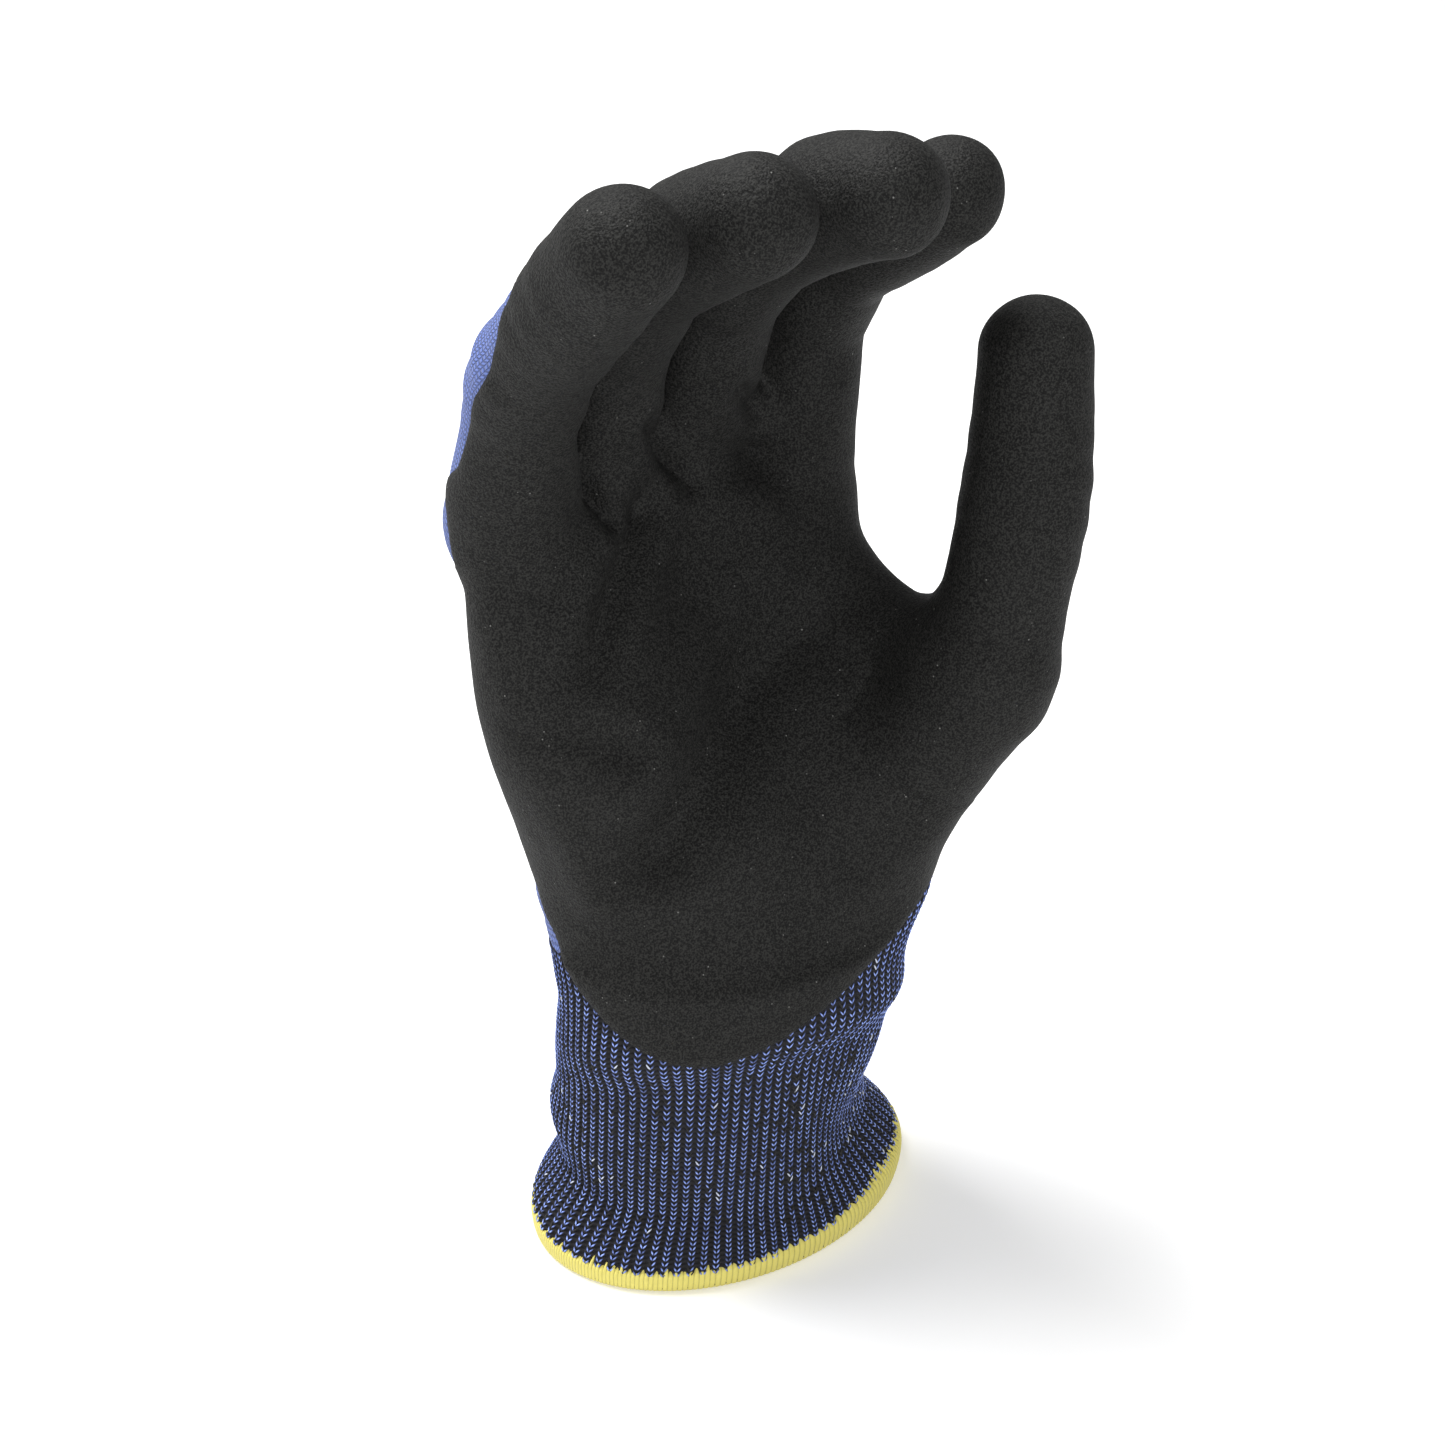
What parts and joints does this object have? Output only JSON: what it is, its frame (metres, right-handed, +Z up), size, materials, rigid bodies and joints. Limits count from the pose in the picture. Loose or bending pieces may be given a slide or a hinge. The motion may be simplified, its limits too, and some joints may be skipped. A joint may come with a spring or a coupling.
{
  "type": "cut resistant work glove",
  "caption": "Right-hand knitted work glove with nitrile-coated palm, fingers and thumb, ribbed cuff and overlocked hem, standing on its cuff with bent fingers.",
  "frame": {"origin": "centre of the cuff mouth, on the floor that the hem stands on", "axes": "+Z up from the hem to the fingertips, palm towards -Y, thumb towards +X"},
  "size_m": [0.1105, 0.0845, 0.2283],
  "materials": {
    "nitrile": "sandy matt nitrile foam",
    "liner_knit": "blue 13-gauge jersey knit",
    "rib_knit": "blue and black rib knit",
    "hem_thread": "yellow overlock thread",
    "elastic_yarn": "covered elastic yarn"
  },
  "bodies": {
    "cuff": {"hem_overlock": "hem_thread", "cuff_rib": "rib_knit", "cuff_elastic": "elastic_yarn", "wrist_flex": "rib_knit"},
    "hand": {"wrist_rib": "rib_knit", "palm_liner": "liner_knit", "palm_coating": "nitrile", "index_root_flex": "nitrile", "middle_root_flex": "nitrile", "ring_root_flex": "nitrile", "little_root_flex": "nitrile", "thumb_root_flex": "nitrile"},
    "index_base": {"index_base_liner": "liner_knit", "index_base_coating": "nitrile", "index_middle_flex": "nitrile"},
    "index_mid": {"index_mid_liner": "liner_knit", "index_mid_coating": "nitrile", "index_end_flex": "nitrile"},
    "index_tip": {"index_tip_liner": "liner_knit", "index_tip_coating": "nitrile"},
    "middle_base": {"middle_base_liner": "liner_knit", "middle_base_coating": "nitrile", "middle_middle_flex": "nitrile"},
    "middle_mid": {"middle_mid_liner": "liner_knit", "middle_mid_coating": "nitrile", "middle_end_flex": "nitrile"},
    "middle_tip": {"middle_tip_liner": "liner_knit", "middle_tip_coating": "nitrile"},
    "ring_base": {"ring_base_liner": "liner_knit", "ring_base_coating": "nitrile", "ring_middle_flex": "nitrile"},
    "ring_mid": {"ring_mid_liner": "liner_knit", "ring_mid_coating": "nitrile", "ring_end_flex": "nitrile"},
    "ring_tip": {"ring_tip_liner": "liner_knit", "ring_tip_coating": "nitrile"},
    "little_base": {"little_base_liner": "liner_knit", "little_base_coating": "nitrile", "little_middle_flex": "nitrile"},
    "little_mid": {"little_mid_liner": "liner_knit", "little_mid_coating": "nitrile", "little_end_flex": "nitrile"},
    "little_tip": {"little_tip_liner": "liner_knit", "little_tip_coating": "nitrile"},
    "thumb_base": {"thumb_base_liner": "liner_knit", "thumb_base_coating": "nitrile", "thumb_end_flex": "nitrile"},
    "thumb_tip": {"thumb_tip_liner": "liner_knit", "thumb_tip_coating": "nitrile"}
  },
  "joints": [
    {"name": "wrist_fold", "type": "hinge", "parent": "cuff", "child": "hand", "pos_m": [0, 0, 0.042], "axis": [1, 0, 0], "range_deg": [-20, 20], "deforming": ["wrist_flex"]},
    {"name": "index_root_fold", "type": "hinge", "parent": "hand", "child": "index_base", "pos_m": [0.03266, 0.02543, 0.16075], "axis": [0.9998, 0.0054, 0.0166], "range_deg": [-35, 16], "stiffness_Nm_per_rad": 0.08, "deforming": ["index_root_flex"]},
    {"name": "index_middle_fold", "type": "hinge", "parent": "index_base", "child": "index_mid", "pos_m": [0.03227, 0.02461, 0.18423], "axis": [0.9998, 0.0054, 0.0166], "range_deg": [-50, 20], "stiffness_Nm_per_rad": 0.05, "deforming": ["index_middle_flex"]},
    {"name": "index_end_fold", "type": "hinge", "parent": "index_mid", "child": "index_tip", "pos_m": [0.03211, 0.00294, 0.20116], "axis": [0.9998, 0.0054, 0.0166], "range_deg": [-5, 42], "stiffness_Nm_per_rad": 0.05, "deforming": ["index_end_flex"]},
    {"name": "middle_root_fold", "type": "hinge", "parent": "hand", "child": "middle_base", "pos_m": [0.00871, 0.02908, 0.16896], "axis": [0.9954, 0.0296, 0.0912], "range_deg": [-35, 45], "stiffness_Nm_per_rad": 0.08, "deforming": ["middle_root_flex"]},
    {"name": "middle_middle_fold", "type": "hinge", "parent": "middle_base", "child": "middle_mid", "pos_m": [0.00662, 0.01838, 0.19529], "axis": [0.9954, 0.0296, 0.0912], "range_deg": [-36, 34], "stiffness_Nm_per_rad": 0.05, "deforming": ["middle_middle_flex"]},
    {"name": "middle_end_fold", "type": "hinge", "parent": "middle_mid", "child": "middle_tip", "pos_m": [0.00588, -0.00877, 0.21221], "axis": [0.9954, 0.0296, 0.0912], "range_deg": [-10, 36], "stiffness_Nm_per_rad": 0.05, "deforming": ["middle_end_flex"]},
    {"name": "ring_root_fold", "type": "hinge", "parent": "hand", "child": "ring_base", "pos_m": [-0.01431, 0.02876, 0.16796], "axis": [0.9877, 0.0483, 0.1488], "range_deg": [-35, 45], "stiffness_Nm_per_rad": 0.08, "deforming": ["ring_root_flex"]},
    {"name": "ring_middle_fold", "type": "hinge", "parent": "ring_base", "child": "ring_mid", "pos_m": [-0.01733, 0.02031, 0.19075], "axis": [0.9877, 0.0483, 0.1488], "range_deg": [-33, 36], "stiffness_Nm_per_rad": 0.05, "deforming": ["ring_middle_flex"]},
    {"name": "ring_end_fold", "type": "hinge", "parent": "ring_mid", "child": "ring_tip", "pos_m": [-0.01883, -0.00329, 0.20839], "axis": [0.9877, 0.0483, 0.1488], "range_deg": [-12, 34], "stiffness_Nm_per_rad": 0.05, "deforming": ["ring_end_flex"]},
    {"name": "little_root_fold", "type": "hinge", "parent": "hand", "child": "little_base", "pos_m": [-0.03608, 0.0227, 0.16705], "axis": [0.9744, 0.0695, 0.2139], "range_deg": [-35, 45], "stiffness_Nm_per_rad": 0.08, "deforming": ["little_root_flex"]},
    {"name": "little_middle_fold", "type": "hinge", "parent": "little_base", "child": "little_mid", "pos_m": [-0.03899, 0.01765, 0.18195], "axis": [0.9744, 0.0695, 0.2139], "range_deg": [-27, 42], "stiffness_Nm_per_rad": 0.05, "deforming": ["little_middle_flex"]},
    {"name": "little_end_fold", "type": "hinge", "parent": "little_mid", "child": "little_tip", "pos_m": [-0.04124, 0.00202, 0.19726], "axis": [0.9744, 0.0695, 0.2139], "range_deg": [-4, 42], "stiffness_Nm_per_rad": 0.05, "deforming": ["little_end_flex"]},
    {"name": "thumb_root_fold", "type": "hinge", "parent": "hand", "child": "thumb_base", "pos_m": [0.03724, -0.02568, 0.12079], "axis": [0.9446, 0.2255, -0.2386], "range_deg": [-20, 27], "stiffness_Nm_per_rad": 0.08, "deforming": ["thumb_root_flex"]},
    {"name": "thumb_end_fold", "type": "hinge", "parent": "thumb_base", "child": "thumb_tip", "pos_m": [0.04524, -0.02372, 0.15429], "axis": [0.8059, 0.5479, -0.2243], "range_deg": [-36, 10], "stiffness_Nm_per_rad": 0.05, "deforming": ["thumb_end_flex"]}
  ]
}
